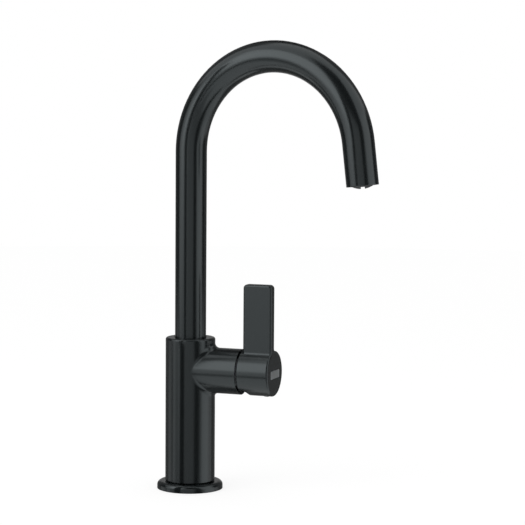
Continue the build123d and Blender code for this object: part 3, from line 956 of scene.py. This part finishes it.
def add_camera(stage):
    """The camera, so placed that the aimed point falls on its pixel."""
    back = outward(stage.azimuth, stage.elevation)
    right = Vector((cos(stage.azimuth), sin(stage.azimuth), 0.0))
    up = back.cross(right)
    level = right * cos(stage.roll) + up * sin(stage.roll)
    upright = up * cos(stage.roll) - right * sin(stage.roll)
    across, down = ((pixel - stage.picture / 2) / stage.focal * stage.distance
                    for pixel in stage.aim_pixel)
    place = Vector((0, 0, stage.aim_height)) - level * across + upright * down + back * stage.distance
    bpy.ops.object.camera_add()
    camera = bpy.context.object
    camera.name = "photo_camera"
    camera.matrix_world = Matrix((level, upright, back)).transposed().to_4x4()
    camera.location = place
    camera.data.sensor_width = SENSOR
    camera.data.lens = stage.focal * camera.data.sensor_width / stage.picture
    camera.data.clip_end = FAR_CLIP
    bpy.context.scene.camera = camera


def add_floor(stage):
    """The round pale floor, which shows white but keeps the faucet's shadow."""
    bpy.ops.mesh.primitive_circle_add(vertices=FLOOR_SIDES, radius=stage.floor_radius, fill_type="NGON")
    floor = bpy.context.object
    floor.name = "floor"
    finish = new_finish("pale_floor")
    cloud = finish.noise(0.5)
    tint = finish.mottle(cloud, stage.floor, dark=0.99, light=1.01)
    lit = finish.node("ShaderNodeBsdfDiffuse", None, {"Color": tint})
    white = finish.node("ShaderNodeEmission", None, {"Color": WHITE, "Strength": stage.floor_glow})
    factor = seen_rays(finish) * (1.0 - stage.shadow)
    finish.output(finish.node("ShaderNodeMixShader", None, {0: factor, 1: lit, 2: white}))
    floor.data.materials.append(finish.owner)
    floor.visible_glossy = False


def add_world(stage):
    """White where it is seen, and an even soft light otherwise."""
    world = bpy.data.worlds.new("studio")
    bpy.context.scene.world = world
    finish = Finish(world)
    soft = finish.node("ShaderNodeBackground", None, {"Color": WHITE, "Strength": stage.ambient})
    white = finish.node("ShaderNodeBackground", None, {"Color": WHITE, "Strength": 1.0})
    seen = finish.node("ShaderNodeMixShader", None, {0: seen_rays(finish), 1: soft, 2: white})
    finish.output(seen, "ShaderNodeOutputWorld")


def add_softbox(stage, name, way, height, distance, width, tall, radiance):
    """A soft rectangular lamp that faces the faucet."""
    direction = from_camera(stage, way, height)
    bpy.ops.object.light_add(type="AREA")
    lamp = bpy.context.object
    lamp.name = name
    lamp.data.shape = "RECTANGLE"
    lamp.data.size = width
    lamp.data.size_y = tall
    lamp.data.energy = radiance * pi * width * tall
    lamp.matrix_world = facing(direction)
    lamp.location = Vector((0, 0, LAMP_AIM)) + direction * distance
    lamp.visible_camera = False


def add_card(name, place, direction, width, tall, level):
    """A grey card beside the faucet, which only the faucet's gloss shows."""
    bpy.ops.mesh.primitive_plane_add(size=1.0)
    card = bpy.context.object
    card.name = name
    card.matrix_world = facing(direction)
    card.location = place
    card.scale = (width, tall, 1.0)
    finish = new_finish(name)
    grey = (level, level, level, 1.0)
    finish.output(finish.node("ShaderNodeEmission", None, {"Color": grey, "Strength": 1.0}))
    card.data.materials.append(finish.owner)
    card.visible_camera = False
    card.visible_diffuse = False
    card.visible_transmission = False
    card.visible_shadow = False


def add_far_card(stage, name, way, half, distance, foot, top, level):
    """An upright card that stands way degrees round from the camera."""
    direction = from_camera(stage, way)
    place = direction * distance + Vector((0, 0, (foot + top) / 2))
    add_card(name, place, direction, 2 * distance * tan(radians(half)), top - foot, level)


def add_strip(stage, name, across, along, foot, top, width):
    """A black strip close in front of the faucet."""
    place = Vector((across, along, (foot + top) / 2))
    add_card(name, place, from_camera(stage, STRIP_WAY), width, top - foot, STRIP_LEVEL)


class FAUCET_OT_stage(bpy.types.Operator):
    """Sets the camera, the floor, the world, the lamps, the grey cards and the black strips"""

    bl_idname = "faucet.stage"
    bl_label = "Stage"

    def execute(self, context):
        stage = context.scene.faucet_stage
        clear_selection()
        context.scene.view_settings.view_transform = "Standard"
        add_camera(stage)
        add_floor(stage)
        add_world(stage)
        for softbox in SOFTBOXES:
            add_softbox(stage, *softbox)
        for card in CARDS:
            add_far_card(stage, *card)
        for strip in STRIPS:
            add_strip(stage, *strip)
        clear_selection()
        return {"FINISHED"}


class FAUCET_PT_sidebar(bpy.types.Panel):
    """The faucet's own page in the sidebar"""

    bl_idname = "FAUCET_PT_sidebar"
    bl_label = "Bar Faucet"
    bl_space_type = "VIEW_3D"
    bl_region_type = "UI"
    bl_category = "Faucet"

    def draw(self, context):
        layout = self.layout
        for operator in OPERATORS:
            layout.operator(operator.bl_idname)
        scene = context.scene
        for group in (scene.faucet_finishes, scene.faucet_fasteners, scene.faucet_stage):
            for name in group.bl_rna.properties.keys():
                if name not in ("rna_type", "name"):
                    layout.prop(group, name)


OPERATORS = (FAUCET_OT_coating, FAUCET_OT_seals, FAUCET_OT_plastics, FAUCET_OT_ceramics, FAUCET_OT_metals,
             FAUCET_OT_lock_screw, FAUCET_OT_set_screw, FAUCET_OT_screw_plug, FAUCET_OT_tapped_threads,
             FAUCET_OT_arm_cove, FAUCET_OT_end_plate, FAUCET_OT_stage)
CLASSES = (FaucetFinishes, FaucetFasteners, FaucetStage, *OPERATORS, FAUCET_PT_sidebar)


def register():
    """Registers the classes and hangs the properties on the scene."""
    for kind in CLASSES:
        bpy.utils.register_class(kind)
    bpy.types.Scene.faucet_finishes = PointerProperty(type=FaucetFinishes)
    bpy.types.Scene.faucet_fasteners = PointerProperty(type=FaucetFasteners)
    bpy.types.Scene.faucet_stage = PointerProperty(type=FaucetStage)


def unregister():
    """Takes back what register did."""
    del bpy.types.Scene.faucet_stage
    del bpy.types.Scene.faucet_fasteners
    del bpy.types.Scene.faucet_finishes
    for kind in reversed(CLASSES):
        bpy.utils.unregister_class(kind)


def main():
    """Registers the add-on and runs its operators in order."""
    register()
    for operator in OPERATORS:
        group, name = operator.bl_idname.split(".")
        getattr(getattr(bpy.ops, group), name)()


if __name__ == "__main__":
    main()
